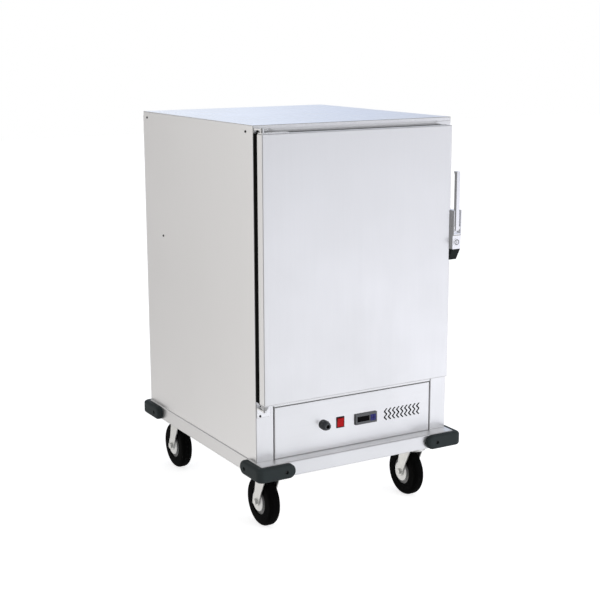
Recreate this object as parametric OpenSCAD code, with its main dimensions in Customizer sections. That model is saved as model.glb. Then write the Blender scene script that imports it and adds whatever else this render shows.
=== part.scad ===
// Mobile hot cupboard: an insulated, heated cabinet with one left-hung door, on a platform with castors.
// The origin is on the floor under the middle of the whole object. The front faces -Y.
// Most modules use the body frame: X from the left side, Y from the front face, Z from the platform's top.

/* [Cabinet] */
// Width across the side panels
body_w = 700; // [660:1:800]
// Depth from the front face to the back panel
body_d = 782; // [740:1:860]
// Height above the platform
body_h = 1010; // [960:1:1300]
// Thickness of the insulated side walls, which is the width of the front posts
wall_t = 61; // [52:1:70]
// Thickness of the insulated back wall
back_t = 44; // [30:1:60]
// Thickness of the insulated roof
roof_t = 52; // [40:1:60]
// Thickness of the insulated chamber floor
floor_t = 45; // [40:1:60]
// Height of the plant compartment behind the control panel
plant_h = 164; // [150:1:180]
// Thickness of the sheet metal
sheet_t = 1.2; // [0.8:0.1:2]
// Outside bend radius of the sheet metal
bend_r = 3; // [2.5:0.5:5]
// Depth of the folded edges at the front
fold_d = 25; // [18:1:35]
// Height of the top panel's folded rim
rim_h = 12; // [8:1:16]

/* [Platform] */
// Height of the platform
base_h = 45; // [35:1:60]
// How far the platform stands out in front
base_front = 42; // [30:1:60]
// How far the platform stands out at each side
base_side = 4; // [2:1:10]
// How far the platform stands out behind
base_back = 4; // [2:1:10]
// Thickness of the platform's sheet
base_sheet = 2; // [1.5:0.5:3]
// Width of the cross rails that carry the castors
rail_w = 150; // [145:1:170]
// Thickness of the cross rails
rail_t = 3; // [2:0.5:5]

/* [Corner bumpers] */
// How far a bumper stands out from the platform
bumper_t = 20; // [17:1:28]
// Height of a bumper
bumper_h = 45; // [36:1:50]
// Height of a bumper's top above the platform's top, below it when negative
bumper_rise = -1.5; // [-6:0.5:4]
// Length of each leg from the platform's corner to its round end
bumper_leg = 110; // [100:1:140]
// Rounding of the outer edges
bumper_r = 10; // [6:1:16]
// Distance of the screws from the platform's corner
bumper_screw = 76; // [50:1:80]

/* [Castors] */
// Height from the floor to the platform
castor_h = 200; // [195:1:215]
// Diameter of the tyre
wheel_d = 160; // [140:1:162]
// Width of the tyre
tyre_w = 40; // [30:1:46]
// Diameter of the wheel centre inside the tyre
rim_d = 87; // [82:1:100]
// Length of the wheel's hub
hub_l = 48; // [46:1:56]
// Diameter of the axle
axle_d = 12; // [10:1:16]
// Distance of the axle behind the swivel axis
trail = 45; // [35:1:50]
// Distance of the swivel axes from the cabinet's sides
castor_x = 79; // [70:1:110]
// Distance of the front swivel axes behind the front face
castor_front = 56; // [50:1:90]
// Distance of the rear swivel axes from the back panel
castor_rear = 92; // [85:1:130]
// Width of the top plates
plate_w = 110; // [104:1:120]
// Length of the top plates
plate_l = 140; // [130:1:144]
// Thickness of the top plates
plate_t = 4; // [3:0.5:6]
// Bolt spacing across a top plate
bolt_x = 80; // [72:1:84]
// Bolt spacing along a top plate
bolt_y = 105; // [95:1:108]
// Diameter of the castor bolts
bolt_d = 10; // [8:1:12]
// Thickness of the fork's sheet
fork_t = 3.5; // [2.5:0.5:5]
// Width of a fork leg at its top
fork_w = 58; // [50:1:66]
// How far the top of a fork leg is set back from the swivel axis
fork_back = 13; // [6:1:16]
// Diameter of the kingpin
kingpin_d = 14; // [10:1:18]

/* [Door] */
// How much narrower the door is than the cabinet
door_side = 35; // [20:1:55]
// Thickness of the door
door_t = 35; // [30:1:45]
// Gap between the door and the front face, filled by the gasket
door_gap = 20; // [16:1:24]
// Height of the door's bottom edge above the platform
door_z = 190; // [186:1:205]
// Height of the front face left bare above the door
door_top = 22; // [20:1:34]
// Width of the gasket
gasket_w = 26; // [20:1:34]
// Depth of the raised panel on the door's inner side
dish_d = 8; // [4:1:12]

/* [Hinges] */
// Distance of the hinge axis from the door's left edge
hinge_x = 10; // [8.5:0.5:18]
// Diameter of the hinge pins
pin_d = 6; // [5:0.5:8]
// Width of the hinge brackets on the front face
bracket_w = 45; // [35:1:48]
// Thickness of the hinge brackets
bracket_t = 4; // [3:0.5:6]
// Gap between the door and the lower bracket
low_gap = 16; // [10:1:18]
// Gap between the door and the upper bracket
high_gap = 10; // [8:1:12]
// Outer diameter of the hinge bushes
bush_d = 13; // [11:0.5:16]
// Diameter of the lower bush where it meets the door
bush_wide_d = 30; // [16:1:34]
// Length of the door's hinge plates
leaf_l = 87; // [60:1:120]
// Width of the door's hinge plates
leaf_w = 25; // [18:1:28]
// Thickness of the door's hinge plates
leaf_t = 3; // [2:0.5:5]

/* [Handle] */
// Width of the handle body
handle_w = 31; // [29:1:34]
// How far the handle body laps over the door's right edge
handle_lap = 5; // [4:1:9]
// How far the handle body stands out from the door
handle_d = 23.6; // [22:0.1:28]
// Height of the handle body's lower edge above the platform
handle_z = 605; // [450:1:680]
// Height of the handle body
handle_h = 122; // [118:1:135]
// Height of the sloping nose under the handle body
nose_h = 36; // [20:1:50]
// Length of the lever
lever_l = 184; // [140:1:210]
// Width of the lever
lever_w = 12; // [11:0.5:14]
// Thickness of the lever
lever_t = 12; // [10:0.5:13]
// How far the lever stands out from the handle body
lever_proud = 4; // [2:0.5:6]
// Diameter of the lock's plug
lock_d = 17; // [12:0.5:18]

/* [Control panel] */
// Gap at each side of the control panel
panel_gap = 2.5; // [1:0.5:4]
// Distance of the cable gland from the left side
gland_x = 234; // [150:1:250]
// Diameter of the cable gland
gland_d = 31; // [29:1:36]
// Length of the cable gland in front of the panel
gland_l = 32; // [28:1:44]
// Diameter of the cable hole
cable_d = 12; // [8:1:13]
// Distance of the switch from the left side
switch_x = 297; // [285:1:315]
// Width of the switch
switch_w = 28.5; // [24:0.5:30]
// Height of the switch
switch_h = 35.5; // [30:0.5:38]
// Distance of the controller from the left side
controller_x = 388.5; // [380:0.5:400]
// Width of the controller
controller_w = 80; // [76:0.5:84]
// Height of the controller
controller_h = 34.5; // [33:0.5:38]
// Height of the controls above the platform
control_z = 82; // [70:0.5:95]
// Distance of the first vent slot from the left side
vent_x = 467; // [455:1:480]
// Number of vent slots
vent_count = 9; // [4:1:10]
// Distance between vent slots
vent_pitch = 15.6; // [13:0.1:16]
// Height of the vent slots
vent_h = 38; // [25:1:60]
// Width of the vent slots
vent_w = 6; // [3:0.1:7]
// Height of the middle of the vent slots above the platform
vent_z = 80; // [70:0.5:95]
// Height of the waves in the vent slots
vent_wave = 3.6; // [2:0.1:4]

/* [Chamber] */
// Distance between tray runners
runner_pitch = 62; // [45:1:90]
// Height of the lowest runner above the chamber floor
runner_first = 62; // [50:1:90]
// Width of a runner's shelf
runner_w = 22; // [18:1:30]
// Height of a runner's upright leg
runner_h = 14; // [10:1:20]
// Thickness of a runner
runner_t = 1.5; // [1:0.1:3]
// Width of the uprights
upright_w = 30; // [20:1:40]
// Depth of the uprights
upright_d = 12; // [8:1:16]

/* [Heating plant] */
// Diameter of the fan
fan_d = 150; // [120:1:165]
// Number of fan blades
blade_count = 24; // [12:1:30]
// Diameter of the fan well in the chamber floor
well_d = 230; // [220:1:260]
// Diameter of the fan motor
motor_d = 85; // [70:1:100]
// Height of the fan motor
motor_h = 70; // [50:1:90]
// Diameter of the motor shaft
shaft_d = 8; // [6:1:10]
// Diameter of the heater's tube
heater_d = 8; // [6:0.5:10]
// Side of the square air cover over the fan well
cover_w = 300; // [270:1:340]
// Height of the air cover
cover_h = 26; // [18:1:34]

/* [Hidden] */
// Clearances: parts that move past each other, pins in their bores, and seams between fixed sheets
run_gap = 0.3;
pin_fit = 0.05;
seam = 0.3;
// How far a cut runs past the face that it opens
over = 1;
least_r = 0.2;

$fn = 48;

// Colours
steel = [0.82, 0.83, 0.86];
liner_steel = [0.75, 0.76, 0.78];
zinc = [0.7, 0.7, 0.68];
charcoal = [0.2, 0.22, 0.23];
black = [0.07, 0.07, 0.08];
wheel_grey = [0.72, 0.72, 0.71];
wool = [0.85, 0.8, 0.6];
red = [0.75, 0.05, 0.08];
blue = [0.15, 0.17, 0.6];
bezel_grey = [0.42, 0.44, 0.46];
chrome = [0.8, 0.8, 0.82];

// Overall places
body_z = castor_h + base_h;
front_reach = door_gap + door_t + handle_d + lever_proud;
back_reach = max(body_d + base_back + bumper_t, body_d - castor_rear + trail + wheel_d / 2);
front_y = (front_reach - back_reach) / 2;
floor_z = plant_h + floor_t;
ceiling_z = body_h - roof_t;
chamber_y = body_d - back_t;
panel_top = body_h - rim_h - seam;

// Door and hinges
door_w = body_w - door_side;
door_face = -door_gap - door_t;
door_high = body_h - door_top;
hinge_y = -door_gap - door_t / 2;
low_plate_z = door_z - low_gap - bracket_t;
high_plate_z = door_high + high_gap;
bracket_tip = 7;
flange_t = 3;
low_flange_h = 33;
high_flange_h = 14;
pin_head_d = 10;
pin_head_h = 3;
gasket_edge = 0.8;
gasket_swing = 1.6;
gasket_lip = 10;
dish_edge = 80;

// Fasteners
screw_d = 4;
screw_head_d = 8;
screw_head_h = 2.2;
screw_fit = 0.2;
screw_tail = 6;
side_screw_top = 20;
side_screw_front = 44;
side_screw_back = 31;
side_screw_low = [141, 605];
side_screws = [
    [side_screw_front, body_h - side_screw_top],
    [body_d - side_screw_back, body_h - side_screw_top],
    [body_d - side_screw_low.x, side_screw_low.y],
];
bracket_screw_x = 14;
bracket_screw_rise = 5;
bracket_screws = [
    [bracket_screw_x, low_plate_z + bracket_t - low_flange_h + bracket_screw_rise],
    [bracket_screw_x, high_plate_z + bracket_t - high_flange_h + bracket_screw_rise],
];
bumper_sink = 7;
bumper_sink_d = 12;

// Castors
wheel_r = wheel_d / 2;
race_d = 60;
race_h = 8;
crown_gap = 8;
crown_z = wheel_d + crown_gap;
crown_t = 4;
cup_d = 72;
cup_h = castor_h - plate_t - race_h - run_gap - crown_z;
leg_end_r = 15;
hub_d = 28;
hub_room = hub_l / 2 + run_gap;
tyre_round = 14;
rim_step = 1.5;
disc_d = 65;
disc_x = hub_l / 2 - rim_step;
ring_set = 6.5;
ring_x = disc_x - ring_set;
rim_fit = 0.1;
axle_head_d = 21;
axle_head_h = 7;
kingpin_head_d = 26;
kingpin_head_h = 5;
bolt_head_h = 6;
bolt_fit = 0.3;
rail_gap = 2;

// Handle
handle_x = door_w - handle_lap;
handle_end = handle_x + handle_w;
handle_r = 2;
step_d = 3.6;
step_z = 42;
pocket_left = 3.5;
pocket_right = 4;
pocket_x = handle_x + pocket_left;
pocket_end = handle_end - pocket_right;
pocket_back = 5;
pivot_d = 15;
pivot_rise = 67;
pivot_z = handle_z + pivot_rise;
pivot_y = door_face - pivot_d;
pocket_low = 18;
case_margin = 3;
case_d = 33;
slot_w = 12.6;
slot_x = (door_w + handle_end - slot_w) / 2;
slot_low = 14;
slot_margin = 6;
hook_w = 11;
hook_x = (door_w + handle_end - hook_w) / 2;
hook_depth = 17;
hook_rise = 18;
hook_y = door_face + hook_depth;
hook_z = pivot_z + hook_rise;
hook_hub_r = 8;
hook_reach = 31;
hook_tooth = 5;
hook_tooth_h = 6;
handle_pin_d = 6;
lever_hub_r = 8;
lever_flare = 5;
lever_edge = 3;
lever_gap = 2.5;
lever_x = pocket_x + lever_gap;
tail_l = 13;
tail_r = 3;
tail_gap = 0.8;
keeper_w = 14;
keeper_lip = 5.5;
keeper_gap = 0.6;
keeper_h = 45;
keeper_t = 3;
lock_x = handle_x + handle_w / 2;
lock_rise = 22;
lock_z = handle_z + lock_rise;
lock_face = door_face + step_d - handle_d;
lock_ring_w = 3.75;
lock_ring_d = lock_d + 2 * lock_ring_w;
lock_ring_h = 1.5;
cam_l = 9;
cam_w = 6;
cam_t = 3;
cam_room = 2;

// Controls
gland_rise = 3;
gland_z = control_z + gland_rise;
thread_d = 20;
neck_d = 22;
flange_h = 5;
nut_lip = 6;
gland_mouth_d = 21;
flute_count = 10;
switch_lip = 1.6;
switch_wall = 2.5;
switch_proud = 3.5;
switch_depth = 25;
rocker_y = 5;
rocker_tilt = 6;
rocker_pin_d = 3;
rocker_proud = 1;
rocker_room = 1.6;
controller_proud = 10;
controller_depth = 60;
controller_lip = 3.5;
controller_edge = 1.2;
display_w = 45;
display_h = 17.5;
display_inset = 6.5;
display_depth = 3;
key_pitch = 9.6;
key_w = 8.2;
key_inset = 15;
key_proud = 1;
key_depth = 4;
key_stem_d = 3;
key_travel = 1;
cut_fit = 0.2;
vent_steps = 24;
vent_waves = 2;

// Chamber and plant
rack_x = wall_t + upright_d;
runner_end = 10;
upright_inset = 110;
upright_t = 2;
runner_top_room = 40;
runner_count = floor((ceiling_z - floor_z - runner_first - runner_top_room) / runner_pitch) + 1;
well_x = body_w / 2;
well_y = (fold_d + chamber_y) / 2;
motor_flange_w = 12.5;
motor_flange_d = motor_d + 2 * motor_flange_w;
motor_flange_h = 3;
shaft_room = 11;
shaft_hole_d = shaft_d + 2 * shaft_room;
impeller_gap = 4;
impeller_z = plant_h + sheet_t + impeller_gap;
impeller_h = floor_t - 2 * sheet_t - 2 * impeller_gap;
impeller_plate = 2;
fan_hub_d = 26;
blade_l = 24;
blade_t = 1.5;
blade_turn = 35;
heater_ring_d = (fan_d + well_d) / 2;
heater_open = 12;
heater_tail = 25;
heater_sleeve_t = 2;
heater_sleeve_d = heater_d + 2 * heater_sleeve_t;
cover_hole_d = 14;
cover_slot_w = 16;
cover_slot_h = 10;
probe_d = 6;
probe_l = 35;
probe_flange_d = 16;
probe_drop = 60;
terminal_low = [90, 110, 0];
terminal_size = [130, 90, 60];
terminal_r = 4;

// Moves its children from the body frame to the object's own frame.
module body_frame() {
    translate([-body_w / 2, front_y, body_z]) children();
}

// Its children on the left, and their mirror image on the right.
module both_sides() {
    children();
    translate([body_w, 0, 0]) mirror([1, 0, 0]) children();
}

module block(low, high) {
    translate(low) cube(high - low);
}

// Extrudes an outline drawn in Y and Z along X.
module along_x(x, length) {
    translate([x, 0, 0]) rotate([90, 0, 90]) linear_extrude(length) children();
}

// A cylinder along X, centred on the given point.
module rod_x(centre, d, length) {
    translate(centre) rotate([0, 90, 0]) cylinder(d = d, h = length, center = true);
}

// A cylinder along Y from y to y + length.
module rod_y(x, y, z, d, length) {
    translate([x, y, z]) rotate([-90, 0, 0]) cylinder(d = d, h = length);
}

module round_rect(low, high, r) {
    size = high - low;
    translate(low) {
        translate([r, 0]) square([size.x - 2 * r, size.y]);
        translate([0, r]) square([size.x, size.y - 2 * r]);
        for (x = [r, size.x - r], y = [r, size.y - r]) translate([x, y]) circle(r);
    }
}

// A solid with rounded upright and top edges and a square lower edge.
module pan_form(size, r) {
    intersection() {
        linear_extrude(size.z) round_rect([0, 0], [size.x, size.y], r);
        translate([0, size.y, 0]) rotate([90, 0, 0]) linear_extrude(size.y)
            round_rect([0, -r], [size.x, size.z], r);
        rotate([90, 0, 90]) linear_extrude(size.x) round_rect([0, -r], [size.y, size.z], r);
    }
}

// A folded sheet pan, open below.
module pan(size, t, r) {
    inner = [size.x - 2 * t, size.y - 2 * t, size.z];
    difference() {
        pan_form(size, r);
        translate([t, t, -t]) pan_form(inner, max(r - t, least_r));
    }
}

// Turns a form that is open below so that its top faces the front, at y = face.
module facing_front(low, face, depth) {
    translate([low.x, face + depth, low.y]) rotate([90, 0, 0]) children();
}

module front_pan(low, high, face, depth) {
    facing_front(low, face, depth) pan([high.x - low.x, high.y - low.y, depth], sheet_t, bend_r);
}

// Screw with its head above the origin and its shank below.
module screw(length) {
    translate([0, 0, -length]) cylinder(d = screw_d, h = length);
    cylinder(d1 = screw_head_d, d2 = screw_head_d - screw_head_h, h = screw_head_h);
}

// Platform

module platform_corners() {
    for (side = [0, 1], rear = [0, 1])
        translate([side ? body_w + base_side : -base_side, rear ? body_d + base_back : -base_front, 0])
            mirror([side, 0, 0]) mirror([0, rear, 0]) children();
}

// Both legs of one corner, from the one that runs along X.
module both_legs() {
    children();
    mirror([1, -1, 0]) children();
}

module bumper_screw_places() {
    z = bumper_rise - bumper_h / 2;
    platform_corners() both_legs() translate([bumper_screw, bumper_sink - bumper_t, z]) rotate([90, 0, 0])
        children();
}

module base_tray() {
    size = [body_w + 2 * base_side, body_d + base_front + base_back, base_h];
    color(steel) body_frame() difference() {
        translate([-base_side, -base_front, -base_h]) pan(size, base_sheet, bend_r);
        bumper_screw_places() translate([0, 0, -2 * bumper_t])
            cylinder(d = screw_d + 2 * screw_fit, h = 2 * bumper_t);
    }
}

module castor_rails() {
    x = -base_side + base_sheet + rail_gap;
    rail_end = body_w - x;
    color(zinc) body_frame() for (y = [castor_front, body_d - castor_rear]) difference() {
        block([x, y - rail_w / 2, -base_h], [rail_end, y + rail_w / 2, -base_sheet]);
        block([x - over, y - rail_w / 2 + rail_t, rail_t - base_h],
              [rail_end + over, y + rail_w / 2 - rail_t, over]);
        for (cx = [castor_x, body_w - castor_x]) translate([cx, y, -base_h]) bolt_places()
            cylinder(d = bolt_d + 2 * bolt_fit, h = 3 * rail_t, center = true);
    }
}

module bumper_section() {
    translate([0, bumper_rise - bumper_h]) intersection() {
        round_rect([-bumper_t, 0], [bumper_t, bumper_h], bumper_r);
        square([bumper_t, bumper_h]);
    }
}

// One leg of a bumper, with a half-round end.
module bumper_leg_form() {
    half = bumper_h / 2;
    along_x(0, bumper_leg - half) mirror([1, 0]) bumper_section();
    translate([bumper_leg - half, 0, bumper_rise - half]) rotate([90, 0, 0]) rotate(-90)
        rotate_extrude(angle = 180) intersection() {
            round_rect([-half, -bumper_t], [half, bumper_t], bumper_r);
            square([half, bumper_t]);
        }
}

module corner_bumpers() {
    color(charcoal) body_frame() difference() {
        platform_corners() {
            rotate([0, 0, 180]) rotate_extrude(angle = 90) bumper_section();
            both_legs() bumper_leg_form();
        }
        bumper_screw_places() {
            cylinder(d = bumper_sink_d, h = bumper_t);
            translate([0, 0, -bumper_t]) cylinder(d = screw_d + 2 * screw_fit, h = bumper_t + over);
        }
    }
}

module casing_screws() {
    color(charcoal) body_frame() {
        bumper_screw_places() screw(bumper_t - bumper_sink + base_sheet + screw_tail);
        both_sides() for (p = side_screws) translate([0, p.x, p.y]) rotate([0, -90, 0])
            screw(sheet_t + screw_tail);
        for (p = bracket_screws) translate([p.x, -flange_t, p.y]) rotate([90, 0, 0])
            screw(flange_t + sheet_t + screw_tail);
    }
}

// Castors, numbered front left, front right, rear left, rear right

module at_castor(i) {
    x = body_w / 2 - castor_x;
    translate([i % 2 == 0 ? -x : x, front_y + (i < 2 ? castor_front : body_d - castor_rear), 0]) children();
}

module at_axle(i) {
    at_castor(i) translate([0, trail, wheel_r]) rotate([0, 90, 0]) children();
}

module bolt_places() {
    for (x = [-bolt_x, bolt_x] / 2, y = [-bolt_y, bolt_y] / 2) translate([x, y, 0]) children();
}

module castor_plates() {
    race_z = castor_h - plate_t - race_h;
    pin_z = crown_z - run_gap - kingpin_head_h;
    color(zinc) for (i = [0:3]) at_castor(i) difference() {
        union() {
            translate([-plate_w / 2, -plate_l / 2, castor_h - plate_t]) linear_extrude(plate_t)
                round_rect([0, 0], [plate_w, plate_l], bolt_d);
            translate([0, 0, race_z]) cylinder(d = race_d, h = race_h);
            translate([0, 0, pin_z]) cylinder(d = kingpin_d, h = race_z - pin_z);
            translate([0, 0, pin_z]) cylinder(d = kingpin_head_d, h = kingpin_head_h);
        }
        bolt_places() cylinder(d = bolt_d + 2 * bolt_fit, h = 2 * castor_h);
    }
}

module castor_bolts() {
    head_z = castor_h - plate_t - bolt_head_h;
    nut_z = castor_h + rail_t;
    color(zinc) for (i = [0:3]) at_castor(i) bolt_places() {
        for (z = [head_z, nut_z]) translate([0, 0, z]) cylinder(d = 2 * bolt_d, h = bolt_head_h, $fn = 6);
        translate([0, 0, castor_h - plate_t]) cylinder(d = bolt_d, h = plate_t + rail_t + 2 * bolt_head_h);
    }
}

module castor_fork(i) {
    top = crown_z + crown_t;
    leg = [
        [fork_back - fork_w / 2, top], [fork_back + fork_w / 2, top],
        [trail + leg_end_r, wheel_r], [trail - leg_end_r, wheel_r],
    ];
    half = hub_room + fork_t;
    color(zinc) {
        at_castor(i) difference() {
            union() {
                for (x = [-half, hub_room]) along_x(x, fork_t) {
                    polygon(leg);
                    translate([trail, wheel_r]) circle(leg_end_r);
                }
                block([-half, fork_back - fork_w / 2, crown_z], [half, fork_back + fork_w / 2, top]);
                translate([0, 0, crown_z]) cylinder(d = cup_d, h = cup_h / 2);
                translate([0, 0, crown_z + cup_h / 2]) cylinder(d1 = cup_d, d2 = race_d, h = cup_h / 2);
            }
            cylinder(d = kingpin_d + 2 * pin_fit, h = castor_h);
        }
        at_axle(i) {
            cylinder(d = axle_d, h = 2 * half, center = true);
            for (z = [-half - axle_head_h, half]) translate([0, 0, z])
                cylinder(d = axle_head_d, h = axle_head_h, $fn = 6);
        }
    }
}

// Wheel centre: a raised disc round the hub and a ring set back inside the tyre, the same on both sides.
module castor_wheel(i) {
    rim_r = rim_d / 2;
    disc_r = disc_d / 2;
    section = [
        [axle_d / 2 + pin_fit, hub_l / 2], [hub_d / 2, hub_l / 2], [hub_d / 2 + rim_step, disc_x],
        [disc_r - rim_step, disc_x], [disc_r, disc_x - rim_step], [disc_r, ring_x], [rim_r, ring_x],
    ];
    lower = [for (k = [len(section) - 1:-1:0]) [section[k].x, -section[k].y]];
    color(wheel_grey) at_axle(i) rotate_extrude() polygon(concat(section, lower));
}

module castor_tyre(i) {
    inner = rim_d / 2 + rim_fit;
    half = tyre_w / 2;
    color(black) at_axle(i) rotate_extrude() intersection() {
        round_rect([0, -half], [wheel_r, half], tyre_round);
        translate([inner, -half]) square([wheel_r, tyre_w]);
    }
}

// Cabinet

// Quarter ring of a sheet bend.
module fold_arc(centre, turn) {
    translate(centre) rotate(turn) intersection() {
        difference() {
            circle(bend_r);
            circle(bend_r - sheet_t);
        }
        square(bend_r);
    }
}

// One side, folded round the front post and back along the chamber's mouth.
module side_panel() {
    difference() {
        linear_extrude(panel_top) {
            translate([0, bend_r]) square([sheet_t, body_d - bend_r]);
            translate([bend_r, 0]) square([wall_t - 2 * bend_r, sheet_t]);
            translate([wall_t - sheet_t, bend_r]) square([sheet_t, fold_d - bend_r]);
            fold_arc([bend_r, bend_r], 180);
            fold_arc([wall_t - bend_r, bend_r], 270);
        }
        for (p = side_screws) rod_x([0, p.x, p.y], screw_d + 2 * screw_fit, 3 * sheet_t);
    }
}

module side_panel_left() {
    color(steel) body_frame() difference() {
        side_panel();
        for (p = bracket_screws) rod_y(p.x, -over, p.y, screw_d + 2 * screw_fit, fold_d / 2);
    }
}

module side_panel_right() {
    color(steel) body_frame() translate([body_w, 0, 0]) mirror([1, 0, 0]) side_panel();
}

module top_panel() {
    color(steel) body_frame() translate([0, 0, body_h - rim_h])
        pan([body_w, body_d, rim_h], sheet_t, bend_r);
}

module back_panel() {
    color(steel) body_frame() block([sheet_t, body_d - sheet_t, 0], [body_w - sheet_t, body_d, panel_top]);
}

// The rail above the door and the rail between the chamber and the plant compartment.
module front_rails() {
    x = wall_t + seam;
    color(steel) body_frame() for (z = [[plant_h, floor_z], [ceiling_z, panel_top]])
        front_pan([x, z[0]], [body_w - x, z[1]], 0, fold_d);
}

// Wavy slot outline, centred on X and rising from y = 0.
module wavy_slot() {
    function wave(k) = vent_wave * cos(360 * vent_waves * k / vent_steps);
    right = [for (k = [0:vent_steps]) [wave(k) + vent_w / 2, vent_h * k / vent_steps]];
    left = [for (k = [vent_steps:-1:0]) [wave(k) - vent_w / 2, vent_h * k / vent_steps]];
    polygon(concat(right, left));
}

module control_panel() {
    x = wall_t + panel_gap;
    controller_cut = [controller_w - 2 * controller_lip, controller_h - 2 * controller_lip];
    switch_cut = [switch_w - 2 * switch_lip, switch_h - 2 * switch_lip];
    color(steel) body_frame() difference() {
        front_pan([x, 0], [body_w - x, plant_h - seam], 0, fold_d);
        rod_y(gland_x, -over, gland_z, thread_d + 2 * cut_fit, 2 * over + sheet_t);
        centred_cut(switch_x, switch_cut);
        centred_cut(controller_x, controller_cut);
        for (i = [0:vent_count - 1])
            translate([vent_x + i * vent_pitch, sheet_t + over, vent_z - vent_h / 2])
                rotate([90, 0, 0]) linear_extrude(sheet_t + 2 * over) wavy_slot();
    }
}

// Opening in the control panel for a body of the given width and height.
module centred_cut(x, size) {
    half = size / 2 + [cut_fit, cut_fit];
    block([x - half.x, -over, control_z - half.y], [x + half.x, sheet_t + over, control_z + half.y]);
}

module chamber_liner() {
    x = wall_t - sheet_t;
    end = body_w - x;
    y = fold_d + seam;
    color(liner_steel) body_frame() {
        both_sides() block([x, y, floor_z + seam], [wall_t, chamber_y - seam, ceiling_z - seam]);
        block([x, chamber_y, floor_z - sheet_t], [end, chamber_y + sheet_t, ceiling_z + sheet_t]);
        block([x, y, ceiling_z], [end, chamber_y - seam, ceiling_z + sheet_t]);
        difference() {
            block([x, y, floor_z - sheet_t], [end, chamber_y - seam, floor_z]);
            translate([well_x, well_y, floor_z])
                cylinder(d = well_d - 2 * sheet_t, h = 3 * sheet_t, center = true);
        }
    }
}

module insulation() {
    x = wall_t - sheet_t - seam;
    end = body_w - x;
    y = fold_d + seam;
    low = plant_h + sheet_t + seam;
    high = panel_top - seam;
    back = chamber_y + sheet_t + seam;
    color(wool) body_frame() {
        both_sides() difference() {
            block([sheet_t + seam, y, low], [x - seam, body_d - sheet_t - seam, high]);
            for (p = side_screws) rod_x([0, p.x, p.y], 2 * screw_d, 2 * (sheet_t + 2 * screw_tail));
        }
        block([x, back, low], [end, body_d - sheet_t - seam, high]);
        block([x, y, ceiling_z + sheet_t + seam], [end, back - seam, high]);
        difference() {
            block([x, y, low], [end, back - seam, floor_z - sheet_t - seam]);
            translate([well_x, well_y, plant_h]) cylinder(d = well_d + 2 * seam, h = 2 * floor_t);
        }
    }
}

module tray_rack_places() {
    for (y = [fold_d + upright_inset, chamber_y - upright_inset]) translate([0, y, 0]) children();
}

module rack_uprights() {
    height = ceiling_z - floor_z - seam;
    color(liner_steel) body_frame() both_sides() tray_rack_places()
        translate([wall_t, -upright_w / 2, floor_z]) difference() {
            cube([upright_d, upright_w, height]);
            translate([-over, upright_t, -over])
                cube([upright_d - upright_t + over, upright_w - 2 * upright_t, height + 2 * over]);
        }
}

// Angle runners in pairs, with the shelf on top and the leg against the uprights.
module tray_runners() {
    y = fold_d + runner_end;
    length = chamber_y - runner_end - y;
    angle = [
        [0, 0], [runner_w, 0], [runner_w, -runner_t],
        [runner_t, -runner_t], [runner_t, -runner_h], [0, -runner_h],
    ];
    color(liner_steel) body_frame() both_sides() for (k = [0:runner_count - 1])
        translate([rack_x, y + length, floor_z + runner_first + k * runner_pitch])
            rotate([90, 0, 0]) linear_extrude(length) polygon(angle);
}

// Heating plant

module at_well(z) {
    body_frame() translate([well_x, well_y, z]) children();
}

module heater_legs() {
    for (turn = [-heater_open, heater_open]) rotate(turn) translate([heater_ring_d / 2, 0, 0]) children();
}

// Deck over the plant compartment, with the collar of the fan well.
module plant_deck() {
    collar_h = floor_t - sheet_t;
    color(liner_steel) {
        difference() {
            body_frame() block([sheet_t, fold_d + seam, plant_h],
                               [body_w - sheet_t, body_d - sheet_t, plant_h + sheet_t]);
            at_well(plant_h) {
                cylinder(d = shaft_hole_d, h = 3 * sheet_t, center = true);
                heater_legs() cylinder(d = heater_sleeve_d + 2 * run_gap, h = 3 * sheet_t, center = true);
            }
        }
        at_well(plant_h) difference() {
            cylinder(d = well_d, h = collar_h);
            translate([0, 0, -over]) cylinder(d = well_d - 2 * sheet_t, h = collar_h + 2 * over);
        }
    }
}

module heater_element() {
    height = floor_t / 2;
    color(bezel_grey) at_well(plant_h) {
        translate([0, 0, height]) rotate(heater_open) rotate_extrude(angle = 360 - 2 * heater_open)
            translate([heater_ring_d / 2, 0]) circle(d = heater_d);
        heater_legs() translate([0, 0, -heater_tail])
            cylinder(d = heater_sleeve_d, h = heater_tail + height + heater_sleeve_d / 2);
    }
}

module fan_motor() {
    shaft_top = impeller_z + impeller_h - plant_h;
    color(zinc) at_well(plant_h) {
        translate([0, 0, -motor_flange_h]) cylinder(d = motor_flange_d, h = motor_flange_h);
        translate([0, 0, -motor_h]) cylinder(d = motor_d, h = motor_h - motor_flange_h);
        cylinder(d = shaft_d, h = shaft_top);
    }
}

// Blower wheel: a back plate with a hub, a ring of blades and a shroud ring.
module fan_impeller() {
    blade_r = fan_d / 2 - blade_l * cos(blade_turn) / 2;
    color(steel) at_well(impeller_z) difference() {
        union() {
            cylinder(d = fan_d, h = impeller_plate);
            cylinder(d = fan_hub_d, h = impeller_h);
            for (k = [1:blade_count]) rotate(k * 360 / blade_count) translate([blade_r, 0, impeller_h / 2])
                rotate(blade_turn) cube([blade_l, blade_t, impeller_h - impeller_plate], center = true);
            translate([0, 0, impeller_h - impeller_plate]) difference() {
                cylinder(d = fan_d, h = impeller_plate);
                translate([0, 0, -over]) cylinder(d = fan_d - 2 * blade_l, h = 2 * over + impeller_plate);
            }
        }
        translate([0, 0, -over]) cylinder(d = shaft_d + 2 * pin_fit, h = impeller_h + 2 * over);
    }
}

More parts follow.
